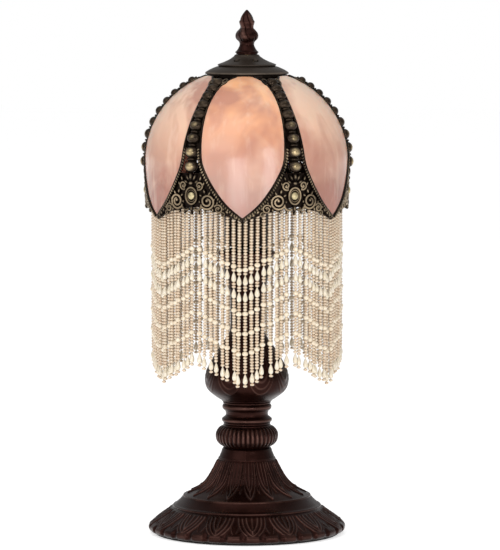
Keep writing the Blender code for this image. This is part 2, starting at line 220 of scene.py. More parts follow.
def add_floor():
    """A plain floor, bright enough to show as the same white as the surround."""
    bpy.ops.mesh.primitive_plane_add(size=FLOOR_SIZE, location=(0, 0, -FLOOR_GAP * MM))
    floor = bpy.context.object
    floor.name = "pale_floor"
    glow = {"Emission_Color": (1, 1, 1, 1), "Emission_Strength": FLOOR_GLOW}
    material, _, _ = new_material("pale_floor", (0.88, 0.88, 0.88), 0.8, **glow)
    floor.data.materials.append(material)


# ---- Materials ----


def new_material(name, colour, roughness, metallic=0.0, **sockets):
    """A Principled material, with its node tree and shader. A socket's name is given with _ for a space."""
    material = bpy.data.materials.new(name)
    material.use_nodes = True
    tree = material.node_tree
    shader = tree.nodes["Principled BSDF"]
    shader.inputs["Base Color"].default_value = (*colour, 1.0)
    shader.inputs["Roughness"].default_value = roughness
    shader.inputs["Metallic"].default_value = metallic
    for socket, value in sockets.items():
        shader.inputs[socket.replace("_", " ")].default_value = value
    return material, tree, shader


def add_node(tree, kind, inputs=None, **settings):
    node = tree.nodes.new(kind)
    for key, value in settings.items():
        setattr(node, key, value)
    for key, value in (inputs or {}).items():
        if isinstance(value, bpy.types.NodeSocket):
            tree.links.new(value, node.inputs[key])
        else:
            node.inputs[key].default_value = value
    return node


def object_coordinates(tree, stretch=(1, 1, 1), shift=(0, 0, 0)):
    place = add_node(tree, "ShaderNodeTexCoord")
    inputs = {"Vector": place.outputs["Object"], "Scale": stretch, "Location": shift}
    mapped = add_node(tree, "ShaderNodeMapping", inputs)
    return mapped.outputs["Vector"]


def noise(tree, where, scale, detail=3.0, roughness=0.55, distortion=0.0):
    inputs = {"Vector": where, "Scale": scale, "Detail": detail, "Roughness": roughness}
    inputs["Distortion"] = distortion
    return add_node(tree, "ShaderNodeTexNoise", inputs).outputs["Fac"]


def ramp(tree, factor, stops):
    """A colour ramp. Each stop is (place, colour), and a bare number as colour is a grey."""
    node = add_node(tree, "ShaderNodeValToRGB", {"Fac": factor})
    elements = node.color_ramp.elements
    while len(elements) < len(stops):
        elements.new(0.5)
    for element, (place, colour) in zip(elements, stops):
        element.position = place
        element.color = (*colour, 1) if isinstance(colour, tuple) else (colour, colour, colour, 1)
    return node.outputs["Color"]


def mix(tree, factor, first, second, blend="MIX"):
    node = add_node(tree, "ShaderNodeMix", data_type="RGBA", blend_type=blend)
    for socket, value in ((node.inputs[0], factor), (node.inputs[6], first), (node.inputs[7], second)):
        if isinstance(value, bpy.types.NodeSocket):
            tree.links.new(value, socket)
        elif isinstance(value, tuple):
            socket.default_value = (*value, 1)
        else:
            socket.default_value = value
    return node.outputs[2]


def bump(tree, shader, height, strength, distance):
    node = add_node(tree, "ShaderNodeBump", {"Height": height, "Strength": strength, "Distance": distance})
    tree.links.new(node.outputs["Normal"], shader.inputs["Normal"])


def patina(name, colours, roughness, metallic, slot):
    """Cast metal: a darker tone and a body tone mottled by noise, and a crest colour where the wear is high.
    In the ribs' material the near-black darker and body tones are painted shade.
    """
    dark_mottle_and_shade, body, crest = colours
    material, tree, shader = new_material(name, body, roughness, metallic, Specular_IOR_Level=0.2)
    where = object_coordinates(tree)
    cloud = noise(tree, where, 60, 5)
    grain = noise(tree, where, 900, 3)
    wear = add_node(tree, "ShaderNodeAttribute", attribute_name="wear").outputs["Fac"]
    uneven = add_node(tree, "ShaderNodeMath", {0: wear, 1: cloud}, operation="MULTIPLY").outputs[0]
    base = mix(tree, cloud, dark_mottle_and_shade, body)
    rubbed = ramp(tree, uneven, [(0.14, 0.0), (0.55, 1.0)])
    tree.links.new(mix(tree, rubbed, base, crest), shader.inputs["Base Color"])
    gloss = ramp(tree, cloud, [(0.3, roughness - 0.08), (0.7, roughness + 0.12)])
    tree.links.new(gloss, shader.inputs["Roughness"])
    bump(tree, shader, grain, 0.25, 0.0002)
    material["slot"] = slot
    return material


def art_glass(name, colours):
    """Opalescent glass, coloured from its tip to its top, with soft upright streaks of cream and rose."""
    material, tree, shader = new_material(
        name,
        colours[-1],
        0.22,
        Subsurface_Weight=0.3,
        Subsurface_Scale=0.004,
        Coat_Weight=0.25,
        Coat_Roughness=0.12,
    )
    shader.inputs["Subsurface Radius"].default_value = (1.0, 0.5, 0.35)
    place = add_node(tree, "ShaderNodeTexCoord").outputs["Object"]
    height = add_node(tree, "ShaderNodeSeparateXYZ", {"Vector": place}).outputs["Z"]
    wander = noise(tree, object_coordinates(tree), 24, 3, distortion=0.5)
    shifted = add_node(tree, "ShaderNodeMath", {0: wander, 1: 0.034}, operation="MULTIPLY").outputs[0]
    level = add_node(tree, "ShaderNodeMath", {0: height, 1: shifted}, operation="ADD").outputs[0]
    low = (GLASS_TIP_Z + 8) * MM
    high = (high_z("glass_petal_1") + 14) * MM
    limits = {"Value": level, "From Min": low, "From Max": high}
    along = add_node(tree, "ShaderNodeMapRange", limits).outputs["Result"]
    bands = ramp(tree, along, list(zip((0.0, 0.28, 0.50, 0.72, 1.0), colours)))
    blotch = noise(tree, object_coordinates(tree, (1, 1, 0.62)), 34, 4, distortion=0.5)
    cream = ramp(tree, blotch, [(0.50, 0.0), (0.68, 0.42)])
    mixed = mix(tree, cream, bands, (0.88, 0.63, 0.47))
    place = object_coordinates(tree, (1, 1, 0.45), (0.4, 0.2, 0.1))
    rose = noise(tree, place, 26, 3, distortion=0.4)
    rosy = ramp(tree, rose, [(0.46, 0.0), (0.64, 0.75)])
    mixed = mix(tree, rosy, mixed, (0.46, 0.19, 0.14))
    streak = noise(tree, object_coordinates(tree, (1, 1, 0.16)), 130, 4)
    fine = ramp(tree, streak, [(0.54, 0.0), (0.74, 0.25)])
    mixed = mix(tree, fine, mixed, (0.88, 0.68, 0.54))
    tree.links.new(mixed, shader.inputs["Base Color"])
    bump(tree, shader, noise(tree, object_coordinates(tree), 45, 2), 0.25, 0.002)
    material["slot"] = "art_glass"
    return material


def pearl(name, colour, tint, roughness):
    material, tree, shader = new_material(name, colour, roughness, Coat_Weight=1.0, Coat_Roughness=0.10)
    where = object_coordinates(tree)
    lot = noise(tree, where, 330, 1)
    tone = ramp(tree, lot, [(0.36, 0.0), (0.64, 1.0)])
    tree.links.new(mix(tree, tone, colour, tint), shader.inputs["Base Color"])
    material["slot"] = "pearl_beads"
    return material


def plain(name, colour, roughness, metallic, slot, scale=400, strength=0.2, **sockets):
    """A material with a fine grain in its colour and surface."""
    material, tree, shader = new_material(name, colour, roughness, metallic, **sockets)
    grain = noise(tree, object_coordinates(tree), scale, 4)
    shade = tuple(value * 0.72 for value in colour)
    tree.links.new(mix(tree, grain, shade, colour), shader.inputs["Base Color"])
    bump(tree, shader, grain, strength, 0.0002)
    material["slot"] = slot
    return material


def woven(name, colour, slot, pitch):
    material, tree, shader = new_material(name, colour, 0.9, Sheen_Weight=0.3)
    where = object_coordinates(tree)
    warp = add_node(tree, "ShaderNodeTexWave", {"Vector": where, "Scale": 1 / pitch}, bands_direction="Z")
    grain = noise(tree, where, 1500, 2)
    threads = mix(tree, 0.5, warp.outputs["Color"], grain)
    shade = tuple(value * 0.6 for value in colour)
    tree.links.new(mix(tree, threads, shade, colour), shader.inputs["Base Color"])
    bump(tree, shader, threads, 0.5, 0.0003)
    material["slot"] = slot
    return material


MAHOGANY = patina(
    "mahogany_bronze",
    [(0.006, 0.0016, 0.0011), (0.034, 0.0092, 0.0060), (0.105, 0.052, 0.041)],
    0.30,
    0.75,
    "mahogany_bronze",
)
CAP_BRONZE = patina(
    "cap_bronze",
    [(0.022, 0.016, 0.012), (0.058, 0.043, 0.032), (0.24, 0.19, 0.145)],
    0.38,
    0.5,
    "mahogany_bronze",
)
# The ribs' castings. The near-black darker and body tones are painted shade: the dark inside of the shade,
# seen through the real openwork, laid on the solid plates. The crest colour is the rubbed brass finish.
RIB_BRONZE_RUB_AND_SHADE = patina(
    "rib_bronze",
    [(0.004, 0.0020, 0.0012), (0.014, 0.0078, 0.0045), (0.62, 0.47, 0.30)],
    0.30,
    0.75,
    "rib_bronze",
)
BEAD_BRONZE = patina(
    "bead_bronze",
    [(0.020, 0.013, 0.009), (0.060, 0.042, 0.028), (0.70, 0.54, 0.30)],
    0.24,
    0.8,
    "rib_bronze",
)
BOSS_BRASS = plain("boss_brass", (0.62, 0.52, 0.30), 0.38, 0.75, "rib_bronze")
PEACH_GLASS = art_glass(
    "peach_glass",
    [
        (0.38, 0.20, 0.165),
        (0.48, 0.275, 0.215),
        (0.60, 0.315, 0.23),
        (0.80, 0.39, 0.22),
        (0.98, 0.49, 0.24),
    ],
)
# A paler, creamier copy of the glass for the four petals off the front and back axis. Its pale cream upper
# bands are painted reflection, the glossy sheen that glass shows when seen at a slant.
SLANT_SHEEN_GLASS = art_glass(
    "slant_sheen_glass",
    [
        (0.22, 0.080, 0.056),
        (0.33, 0.148, 0.102),
        (0.60, 0.335, 0.24),
        (0.84, 0.53, 0.38),
        (0.98, 0.70, 0.53),
    ],
)
SEED_PEARL = pearl("seed_pearl", (0.65, 0.48, 0.325), (0.72, 0.595, 0.44), 0.20)
ROUND_PEARL = pearl("round_pearl", (0.74, 0.61, 0.44), (0.82, 0.71, 0.55), 0.18)
DROP_PEARL = pearl("drop_pearl", (0.72, 0.62, 0.45), (0.80, 0.71, 0.58), 0.14)
TAPE = woven("header_tape", (0.62, 0.57, 0.40), "woven_tape", 0.0035)
FELT = plain("dark_felt", (0.012, 0.010, 0.009), 0.95, 0.0, "dark_felt", 700, 0.6, Sheen_Weight=0.1)
STEEL = plain("zinc_plate", (0.55, 0.55, 0.56), 0.35, 1.0, "zinc_steel")
IRON = plain("cast_iron", (0.12, 0.12, 0.12), 0.7, 0.5, "cast_iron", 300, 0.8)
BRASS = plain("satin_brass", (0.70, 0.50, 0.22), 0.30, 1.0, "brass")
PHENOLIC = plain("phenolic", (0.03, 0.022, 0.02), 0.40, 0.0, "phenolic")
FIBRE = plain("liner_fibre", (0.35, 0.25, 0.16), 0.9, 0.0, "fibre", 600, 0.5)
PORCELAIN = plain("porcelain", (0.80, 0.78, 0.74), 0.2, 0.0, "porcelain", 200, 0.05)
SOCKET = patina(
    "socket_bronze",
    [(0.01, 0.006, 0.005), (0.03, 0.018, 0.013), (0.12, 0.08, 0.05)],
    0.32,
    0.7,
    "socket_bronze",
)
FROSTED = plain(
    "frosted_bulb",
    (0.90, 0.89, 0.86),
    0.35,
    0.0,
    "frosted_glass",
    500,
    0.05,
    Subsurface_Weight=0.3,
)


# ---- Mesh building ----


def place_piece(name, mesh, body, materials, replaced=None):
    piece = bpy.data.objects.new(name, mesh)
    bpy.context.scene.collection.objects.link(piece)
    for material in materials:
        mesh.materials.append(material)
    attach(piece, body)
    if replaced:
        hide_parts(replaced)
    return piece


def smooth(mesh, degrees=40):
    mesh.shade_smooth()
    mesh.set_sharp_from_angle(angle=math.radians(degrees))


class Build:
    """Collects grids of points, in millimetres, with a wear and a material for each, into one mesh."""

    def __init__(self):
        self.points = []
        self.faces = []
        self.wear = []
        self.kinds = []

    def grid(self, rows, closed_u=True, closed_v=False, wear=None, kind=0):
        """Joins rows of points. closed_u joins a row's ends, and closed_v the last row to the first."""
        start = len(self.points)
        width = len(rows[0])
        for i, row in enumerate(rows):
            self.points.extend(row)
            self.wear.extend(wear[i] if wear else [0.0] * width)
        count = len(rows)
        for i in range(count if closed_v else count - 1):
            this = start + i * width
            below = start + (i + 1) % count * width
            for j in range(width if closed_u else width - 1):
                right = (j + 1) % width
                self.faces.append((this + j, below + j, below + right, this + right))
                self.kinds.append(kind)

    def cap(self, first, count, reverse, kind=0):
        ring = [first + j for j in range(count)]
        self.faces.append(tuple(reversed(ring)) if reverse else tuple(ring))
        self.kinds.append(kind)

    def tube(self, path, radii, sides=8, wear=0.6, kind=0, flat=1.0, up=None):
        """A closed tube along a path, whose section is flattened towards up by flat."""
        start = len(self.points)
        rows = []
        worn = []
        for i, point in enumerate(path):
            ahead = path[min(i + 1, len(path) - 1)] - path[max(i - 1, 0)]
            along = ahead.normalized()
            outward = up[i] if up else Vector((0, 0, 1))
            side = along.cross(outward).normalized()
            outward = side.cross(along).normalized()
            radius = radii[i] if isinstance(radii, list) else radii
            row = []
            wears = []
            for k in range(sides):
                turn = 2 * math.pi * k / sides
                beside = point + side * (radius * math.cos(turn))
                row.append(beside + outward * (radius * flat * math.sin(turn)))
                wears.append(wear * max(0.0, math.sin(turn)) ** 2)
            rows.append(row)
            worn.append(wears)
        self.grid(rows, wear=worn, kind=kind)
        self.cap(start, sides, False, kind)
        self.cap(start + (len(path) - 1) * sides, sides, True, kind)

    def egg(self, centre, axes, segments, rings, wear=None, kind=0, waist=None):
        """A closed ball. Its half axes are sideways, outward and along, and waist may shape its girth."""
        side, out, along = axes
        rows = []
        worn = []
        foot = len(self.points)
        for i in range(rings - 1, 0, -1):
            turn = math.pi * i / rings
            girth = waist(turn) if waist else math.sin(turn)
            row = []
            wears = []
            for j in range(segments):
                spin = 2 * math.pi * j / segments
                outwards = math.sin(spin)
                level = centre + side * (girth * math.cos(spin)) + out * (girth * outwards)
                row.append(level + along * math.cos(turn))
                wears.append((wear or 0) * max(0.0, outwards * math.sin(turn)) ** 3)
            rows.append(row)
            worn.append(wears)
        self.grid(rows, wear=worn, kind=kind)
        last = foot + (rings - 2) * segments
        for pole, first, is_top in ((centre - along, foot, False), (centre + along, last, True)):
            index = len(self.points)
            self.points.append(pole)
            self.wear.append(0.0)
            for j in range(segments):
                pair = (first + j, first + (j + 1) % segments)
                self.faces.append((index, *(reversed(pair) if is_top else pair)))
                self.kinds.append(kind)

    def mesh(self, name, degrees=40):
        mesh = bpy.data.meshes.new(name)
        mesh.from_pydata([Vector(p) * MM for p in self.points], [], self.faces)
        mesh.polygons.foreach_set("material_index", self.kinds)
        worn = mesh.attributes.new("wear", "FLOAT", "POINT")
        worn.data.foreach_set("value", self.wear)
        bm = bmesh.new()
        bm.from_mesh(mesh)
        bmesh.ops.remove_doubles(bm, verts=bm.verts, dist=WELD * MM)
        bm.to_mesh(mesh)
        bm.free()
        smooth(mesh, degrees)
        return mesh


def catmull(points, samples):
    """A smooth curve through points, as vectors, with samples in each span."""
    ends = [Vector(p) for p in (points[0], *points, points[-1])]
    found = []
    for a, b, c, d in zip(ends, ends[1:], ends[2:], ends[3:]):
        for k in range(samples):
            t = k / samples
            curve = 2 * b + (c - a) * t + (2 * a - 5 * b + 4 * c - d) * t**2 + (3 * b - a - 3 * c + d) * t**3
            found.append(curve / 2)
    found.append(ends[-1])
    return found


def turned(name, stretches, material, body, node=None, segments=96, axis=None, degrees=40):
    """A lathe-turned piece, closed on itself.

    Each stretch of its outline is (points, samples, relief): it goes on from the end of the one before,
    smooth within, and sharp where two meet.
    relief(angle, z) gives how far the surface is raised, and its wear from 0 to 1.
    """
    line = []
    end = []
    for points, samples, relief in stretches:
        points = end + points
        run = catmull(points, samples) if samples > 1 else [Vector(p) for p in points]
        line += [(p, relief) for p in run[len(end) :]]
        end = points[-1:]
    if (line[0][0] - line[-1][0]).length < 0.01:
        line.pop()
    rows = []
    worn = []
    for i, (point, relief) in enumerate(line):
        ahead = line[(i + 1) % len(line)][0] - line[i - 1][0]
        normal = Vector((-ahead.y, ahead.x)).normalized()
        row = []
        wears = []
        for j in range(segments):
            angle = 360 * j / segments
            raised, wear = relief(angle, point.y) if relief else (0.0, 0.0)
            radius = point.x + normal.x * raised
            turn = math.radians(angle)
            z = point.y + normal.y * raised
            row.append(Vector((radius * math.sin(turn), -radius * math.cos(turn), z)))
            wears.append(wear)
        rows.append(row)
        worn.append(wears)
    build = Build()
    on_axis = line[0][0].x < 0.01 and line[-1][0].x < 0.01
    build.grid(rows, closed_v=not on_axis, wear=worn)
    mesh = build.mesh(name, degrees)
    if axis:
        mesh.transform(axis)
    return place_piece(name, mesh, body, [material], node)


# ---- The base's castings ----


def ridge(value, centre, width):
    return math.exp(-(((value - centre) / width) ** 2))


def seam(angle):
    """The thin line that a two-part mould leaves at the front and the back."""
    return 0.12 * ridge((angle + 90) % 180 - 90, 0.0, 1.1)


def leaf_tier(angle, z, top, tip, girth, sharpness, lines):
    """(raised, wear) of a ring of leaves that point down, each with outlines nested inside its edge."""
    if not tip < z < top:
        return 0.0, 0.0
    sector = 360 / FOOT_LEAVES
    across = ((angle - FOOT_TURN) / sector + 0.5) % 1 - 0.5
    across = abs(across) * 2
    down = (top - z) / (top - tip)
    fade = min(1.0, down / 0.10)

    def level(offset, width, length):
        return (down / length) ** sharpness + (offset / width) ** 1.05

    leaf = level(across, girth, 1.0)
    between = level(1 - across, 0.36, 0.88)
    raised, wear = 0.0, 0.0
    if leaf < 1.0:
        raised = 0.3 + 0.4 * min(1.0, (1 - leaf) / 0.15)
        for line in lines:
            mark = ridge(leaf, line, 0.05)
            raised += 0.5 * mark
            wear = max(wear, mark)
        spine = ridge(across, 0.0, 0.05) * min(1.0, (1 - leaf) / 0.2)
        raised += 0.35 * spine
        wear = max(wear, 0.8 * spine)
    elif between < 1.0:
        mark = ridge(between, 0.86, 0.09)
        raised = 0.18 + 0.42 * mark
        wear = 0.75 * mark
    return raised * fade, wear * fade


def rim_block(angle, z):
    """(raised, wear) of the row of blocks cast round the foot's rim."""
    across = abs(math.cos(math.radians(RIM_BLOCKS / 2 * (angle - FOOT_TURN))))
    share = min(1.0, across * 1.7) ** 2 * ridge(z, 5.4, 2.9)
    return RIM_DEPTH * share, 0.5 * share


def foot_relief(angle, z):
    if z > 58.5:
        return seam(angle), 0.5 * ridge(z, 58.9, 0.5)
    if z > 30.2:
        return leaf_tier(angle, z, 58.5, 30.6, 0.98, 3.4, (0.92, 0.52))
    if z > 28.4:
        return 0.0, 0.5
    if z > 20.2:
        return 0.0, 0.6 * ridge(z, 21.6, 0.7)
    return max(leaf_tier(angle, z, 20.2, 4.4, 0.90, 2.4, (0.93, 0.66, 0.38)), rim_block(angle, z))


def add_foot():
    outer = [
        ([(BORE, 66.5), (17.6, 66.5)], 2, None),
        ([(18.6, 66.2), (19.3, 65.2)], 4, foot_relief),
        ([(20.0, 63.0), (21.1, 60.3), (21.5, 59.2)], 4, foot_relief),
        ([(22.1, 58.8), (22.2, 58.2), (21.9, 57.6)], 3, foot_relief),
        (
            [(23.6, 53.8), (26.0, 49.2), (29.2, 43.6)]
            + [(32.9, 39.0), (38.2, 34.9), (44.6, 31.6), (47.9, 29.9)],
            11,
            foot_relief,
        ),
        ([(48.7, 30.1), (49.4, 29.8), (49.6, 29.0)], 3, foot_relief),
        ([(52.2, 26.0), (55.9, 22.6)], 3, None),
        ([(57.0, 22.3), (57.6, 21.6), (57.4, 20.6)], 3, foot_relief),
        ([(61.8, 16.8), (68.4, 12.2), (72.6, 9.0), (74.6, 6.4)], 11, foot_relief),
        ([(75.0, 4.6), (74.6, 2.9), (73.4, 2.3)], 4, foot_relief),
    ]
    inner = [
        ([(70.2, 2.3), (72.0, 6.4), (54.0, 19.0), (46.8, 26.6)], 1, None),
        ([(29.6, 38.6), (18.6, 58.0), (BORE, 63.2), (BORE, 66.5)], 1, None),
    ]
    return turned("foot_casting", outer + inner, MAHOGANY, "root", "base_foot", segments=FOOT_LEAVES * 44)


def gadroon_relief(angle, z):
    share = max(0.0, 1 - ((z - COLLAR_MIDDLE_Z) / 8.6) ** 4)
    rib = abs(math.sin(math.radians(GADROONS / 2 * angle)))
    return (rib**0.7 - 1) * 0.9 * share + 0.5 * share, 0.95 * rib**3 * share


def add_collar():
    foot, top = ends("gadroon_collar")
    outline = [
        ([(BORE, top), (17.2, top)], 2, None),
        ([(18.3, top - 0.5), (18.4, top - 1.4)], 3, None),
        (
            [(21.2, top - 3.0), (23.3, top - 6.2)]
            + [(23.8, top - 9.2), (23.0, top - 13.0), (20.6, top - 16.0)],
            6,
            gadroon_relief,
        ),
        ([(18.6, foot + 0.6), (18.0, foot)], 2, None),
        ([(BORE, foot), (BORE, top)], 1, None),
    ]
    return turned("gadrooned_collar", outline, MAHOGANY, "root", "gadroon_collar", segments=GADROONS * 12)


def neck_relief(angle, z):
    return seam(angle), 0.25 + 0.6 * max(ridge(z, 88.4, 0.8), ridge(z, 98.6, 0.8), ridge(z, 101.2, 0.4))


def add_neck():
    foot, top = ends("ringed_neck")
    outline = [
        ([(BORE, top), (18.0, top)], 2, None),
        ([(18.5, top - 0.4), (18.5, top - 1.1), (17.7, top - 1.8)], 3, neck_relief),
        ([(18.5, 100.2), (19.1, 98.8), (18.9, 97.3), (18.0, 96.2)], 4, neck_relief),
        ([(17.1, 95.6), (16.6, 94.6)], 3, neck_relief),
        ([(16.3, 92.9), (16.7, 91.4)], 4, neck_relief),
        ([(17.5, 90.8), (18.2, 90.2)], 3, neck_relief),
        ([(19.2, 89.4), (19.5, 88.2), (19.0, 87.0), (17.9, 86.5)], 4, neck_relief),
        ([(18.2, 86.0), (18.1, foot)], 2, neck_relief),
        ([(BORE, foot), (BORE, top)], 1, None),
    ]
    return turned("ringed_neck_casting", outline, MAHOGANY, "root", "ringed_neck", segments=180)


def vase_relief(angle, z):
    """Eight petals that hang round the bulb, each with outlines nested inside its round edge."""
    raised, wear = seam(angle), 0.1
    if 106 < z < 150:
        across = abs(angle / 45 % 1 - 0.5) * 2
        level = ((150 - z) / 40) ** 3 + across**2
        for line in (0.95, 0.66, 0.40):
            mark = ridge(level, line, 0.06)
            raised += 0.3 * mark
            wear = max(wear, 0.65 * mark)
    return raised, wear


def add_vase():
    foot, top = ends("vase_body")
    outline = [
        ([(BORE, top), (13.2, top)], 2, None),
        ([(14.0, top - 1.0), (13.4, top - 2.4), (12.9, top - 6.0)], 4, vase_relief),
        (
            [(12.8, 172), (12.9, 160), (14.4, 155.0)]
            + [(18.2, 149.0), (23.4, 141.0), (27.8, 133.8)],
            10,
            vase_relief,
        ),
        (
            [(31.2, 126.6), (32.4, 120.4), (31.6, 114.6)]
            + [(28.8, 110.2), (24.0, 106.4), (19.6, foot + 0.7)],
            10,
            vase_relief,
        ),
        ([(19.2, foot), (17.6, foot)], 2, None),
        ([(25.8, 112.6), (29.0, 120.4), (15.6, 148.6)], 1, None),
        ([(10.2, 160), (10.2, 187), (BORE, 188.8), (BORE, top)], 1, None),
    ]
    return turned("vase_casting", outline, MAHOGANY, "root", "vase_body", segments=240)


def rim_wear(angle, z):
    return 0.0, 0.35 + 0.6 * ridge(z, 217.8, 1.0)


def add_cup():
    foot, top = ends("socket_cup")
    outline = [
        ([(15.6, top), (18.2, top)], 2, None),
        ([(19.4, top - 0.5), (21.6, top - 1.9), (22.4, top - 3.2), (21.8, top - 4.4)], 4, rim_wear),
        (
            [(19.6, top - 7.0), (18.0, top - 10.4)]
            + [(17.6, top - 17), (16.6, top - 22), (14.6, foot)],
            6,
            rim_wear,
        ),
        ([(BORE, foot), (BORE, foot + 2.2), (12.8, foot + 2.2)], 1, None),
        ([(15.6, foot + 7), (15.6, top)], 1, None),
    ]
    return turned("socket_cup_casting", outline, MAHOGANY, "root", "socket_cup", segments=128)


# ---- Pieces that keep the model's shape but are turned finer ----


def add_socket():
    """The socket's cap. Its shell keeps the model's mesh, which has the hole for the key."""
    foot, top = ends("socket_cap")
    cap = [
        ([(BORE, foot + 3), (12.0, foot + 3), (15.8, foot + 6.5), (15.8, top), (17.0, top)], 1, None),
        ([(17.4, top - 0.4), (17.4, top - 1.0)], 2, None),
        ([(16.9, top - 1.6), (16.9, top - 3.0), (17.4, top - 3.6)], 2, None),
        ([(17.4, foot + 1.5), (16.9, foot - 1.6), (15.6, foot - 2.6)], 4, None),
        ([(14.4, foot - 2.6), (14.4, foot), (BORE, foot), (BORE, foot + 3)], 1, None),
    ]
    turned("socket_cap_spun", cap, SOCKET, "root", "socket_cap", segments=72)


def add_bulb():
    foot, top = ends("bulb_glass")
    glass = [
        (
            [(0, top), (8, top - 1.5), (16.6, top - 6.6)]
            + [(22.2, top - 15.2), (23.6, top - 24.4), (21.8, top - 35.0)],
            6,
            None,
        ),
        ([(17.2, top - 46.0), (14.0, top - 53.4), (13.0, foot)], 6, None),
        ([(0, foot)], 1, None),
    ]
    turned("bulb_envelope", glass, FROSTED, "bulb", "bulb_glass", segments=64)
    cap_foot, cap_top = ends("bulb_cap")
    thread = [(12.9, cap_top - 0.6), (12.2, cap_top - 2.4)]
    for turn in range(5):
        z = cap_top - 4.0 - 3.63 * turn
        thread += [(12.9, z), (12.2, z - 1.8)]
    outline = [
        ([(0, cap_top), (12.6, cap_top)], 1, None),
        ([*thread, (5.2, cap_foot)], 2, None),
        ([(0, cap_foot)], 1, None),
    ]
    turned("bulb_screw_base", outline, BRASS, "bulb", "bulb_cap", segments=64)


def add_bushing():
    low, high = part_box("cord_bushing")
    middle = (low.z + high.z) / 2
    face = high.y / MM
    back = low.y / MM
    outline = [
        ([(3.4, face), (5.2, face)], 1, None),
        ([(6.0, face - 0.5), (6.0, face - 1.5)], 3, None),
        ([(4.7, face - 1.5), (4.7, back)], 1, None),
        ([(3.4, back), (3.4, face)], 1, None),
    ]
    turn = Matrix.Translation((0, 0, middle)) @ Matrix.Rotation(math.radians(-90), 4, "X")
    turned("cord_grommet", outline, PHENOLIC, "root", "cord_bushing", segments=48, axis=turn)


# ---- The finial and the vented cap ----


def finial_relief(angle, z):
    """A bud: four leaves spiral up from the waist, with curled tips at the ears."""
    if z < 380.5:
        return 0.0, 0.2
    spin = math.radians(angle * 4 + (z - 380) * 11)
    wave = math.cos(spin)
    share = min(1.0, (z - 380.5) / 3, (405.2 - z) / 4)
    groove = ridge(abs(wave), 0.0, 0.22)
    return share * (0.45 * wave - 0.55 * groove), share * (0.35 + 0.5 * max(0.0, wave) ** 2 - 0.5 * groove)


def add_finial():
    foot = low_z("finial")
    outline = [
        ([(0, 405.6), (0.9, 405.3), (2.7, 402.9), (4.6, 399.8), (5.5, 397.6)], 5, finial_relief),
        ([(6.3, 396.8), (6.2, 395.4), (5.4, 393.2), (5.2, 391.6)], 5, finial_relief),
        (
            [(6.6, 390.0), (8.1, 388.0), (8.6, 385.8)]
            + [(8.0, 383.6), (6.2, 381.4), (5.7, 380.0)],
            5,
            finial_relief,
        ),
        ([(5.6, 378.6), (6.3, 376.8), (7.6, 374.6), (8.9, 373.4)], 4, finial_relief),
        ([(9.0, 372.8), (8.3, 372.3), (8.3, foot)], 2, None),
        ([(4.9, foot), (4.9, 383.0), (0, 383.6)], 1, None),
    ]
    return turned("bud_finial", outline, MAHOGANY, "finial", "finial", segments=96)


def cap_wear(angle, z):
    return 0.0, 0.1 + 0.45 * ridge(z, 357.6, 0.6)


def add_cap():
    top = high_z("vase_cap")
    outline = [
        ([(3.6, top), (8.6, top)], 2, None),
        (
            [(9.4, top - 0.3), (10.2, top - 1.4)]
            + [(13.0, top - 3.4), (17.0, top - 5.4), (20.6, top - 6.8)],
            4,
            cap_wear,
        ),
        ([(22.3, top - 7.5), (22.6, top - 8.2), (21.6, top - 8.8)], 3, cap_wear),
        ([(24.6, top - 9.7), (28.8, top - 11.6), (31.4, top - 13.2)], 4, cap_wear),
        ([(32.2, top - 13.9), (32.0, top - 14.8), (30.6, top - 14.6)], 3, cap_wear),
        ([(29.4, top - 13.6), (20.2, top - 9.4), (15.6, top - 7.2)], 1, None),
        ([(8.8, top - 2.4), (3.6, top - 2.4), (3.6, top)], 1, None),
    ]
    cap = turned("vented_cap", outline, CAP_BRONZE, "shade", "vase_cap", segments=144)
    for k in range(PETALS):
        turn = math.radians(STEP * k + STEP / 2)
        bpy.ops.mesh.primitive_cylinder_add(vertices=24, radius=1, depth=1)
        vent = bpy.context.object
        vent.scale = Vector(VENT_CUT) * MM
        out = VENT_RADIUS * MM
        vent.location = (out * math.sin(turn), -out * math.cos(turn), (top - 5) * MM)
        vent.rotation_euler = (0, 0, turn)
        cutter = cap.modifiers.new("vent", "BOOLEAN")
        cutter.object = vent
        cutter.solver = "EXACT"
        bpy.context.view_layer.objects.active = cap
        bpy.ops.object.modifier_apply(modifier="vent")
        bpy.data.objects.remove(vent, do_unlink=True)
    return cap


# ---- The dome's own coordinates ----


def dome_radius(z):
    reach = DOME_RISE if z > DOME_EQUATOR else DOME_DROP
    return DOME_RADIUS * math.sqrt(1 - ((z - DOME_EQUATOR) / reach) ** 2)


def dome_normal(z):
    """(outward, upward) parts of the dome's unit normal at a height."""
    reach = DOME_RISE if z > DOME_EQUATOR else DOME_DROP
    return Vector((dome_radius(z) / DOME_RADIUS**2, (z - DOME_EQUATOR) / reach**2)).normalized()


def facing(azimuth, across, z):
    """The unit vectors sideways, outward and up along the dome, at a place on it."""
    normal = dome_normal(z)
    turn = math.radians(azimuth) + across / dome_radius(z)
    side = Vector((math.cos(turn), math.sin(turn), 0))
    out = Vector((normal.x * math.sin(turn), -normal.x * math.cos(turn), normal.y))
    return side, out, out.cross(side)


def on_dome(azimuth, across, z, out=0.0):
    """The point that is across sideways from an azimuth, at height z, and out from the dome."""
    normal = dome_normal(z)
    turn = math.radians(azimuth) + across / dome_radius(z)
    away = dome_radius(z) + normal.x * out
    return Vector((away * math.sin(turn), -away * math.cos(turn), z + normal.y * out))


def climb(z, arc):
    """The height reached from z after going up the dome's own curve by arc."""
    step = 0.1
    for _ in range(round(arc / step)):
        z += step * dome_normal(z).x
    return z


def spread(half, z):
    """Half the rib's width at a height, beside a petal whose half angle there is half."""
    return math.radians(STEP / 2 - half) * dome_radius(z)


def petal_edge(samples):
    return [(max(p.x, 0.0), p.y) for p in catmull(PETAL_EDGE, samples)]


# ---- The glass ----


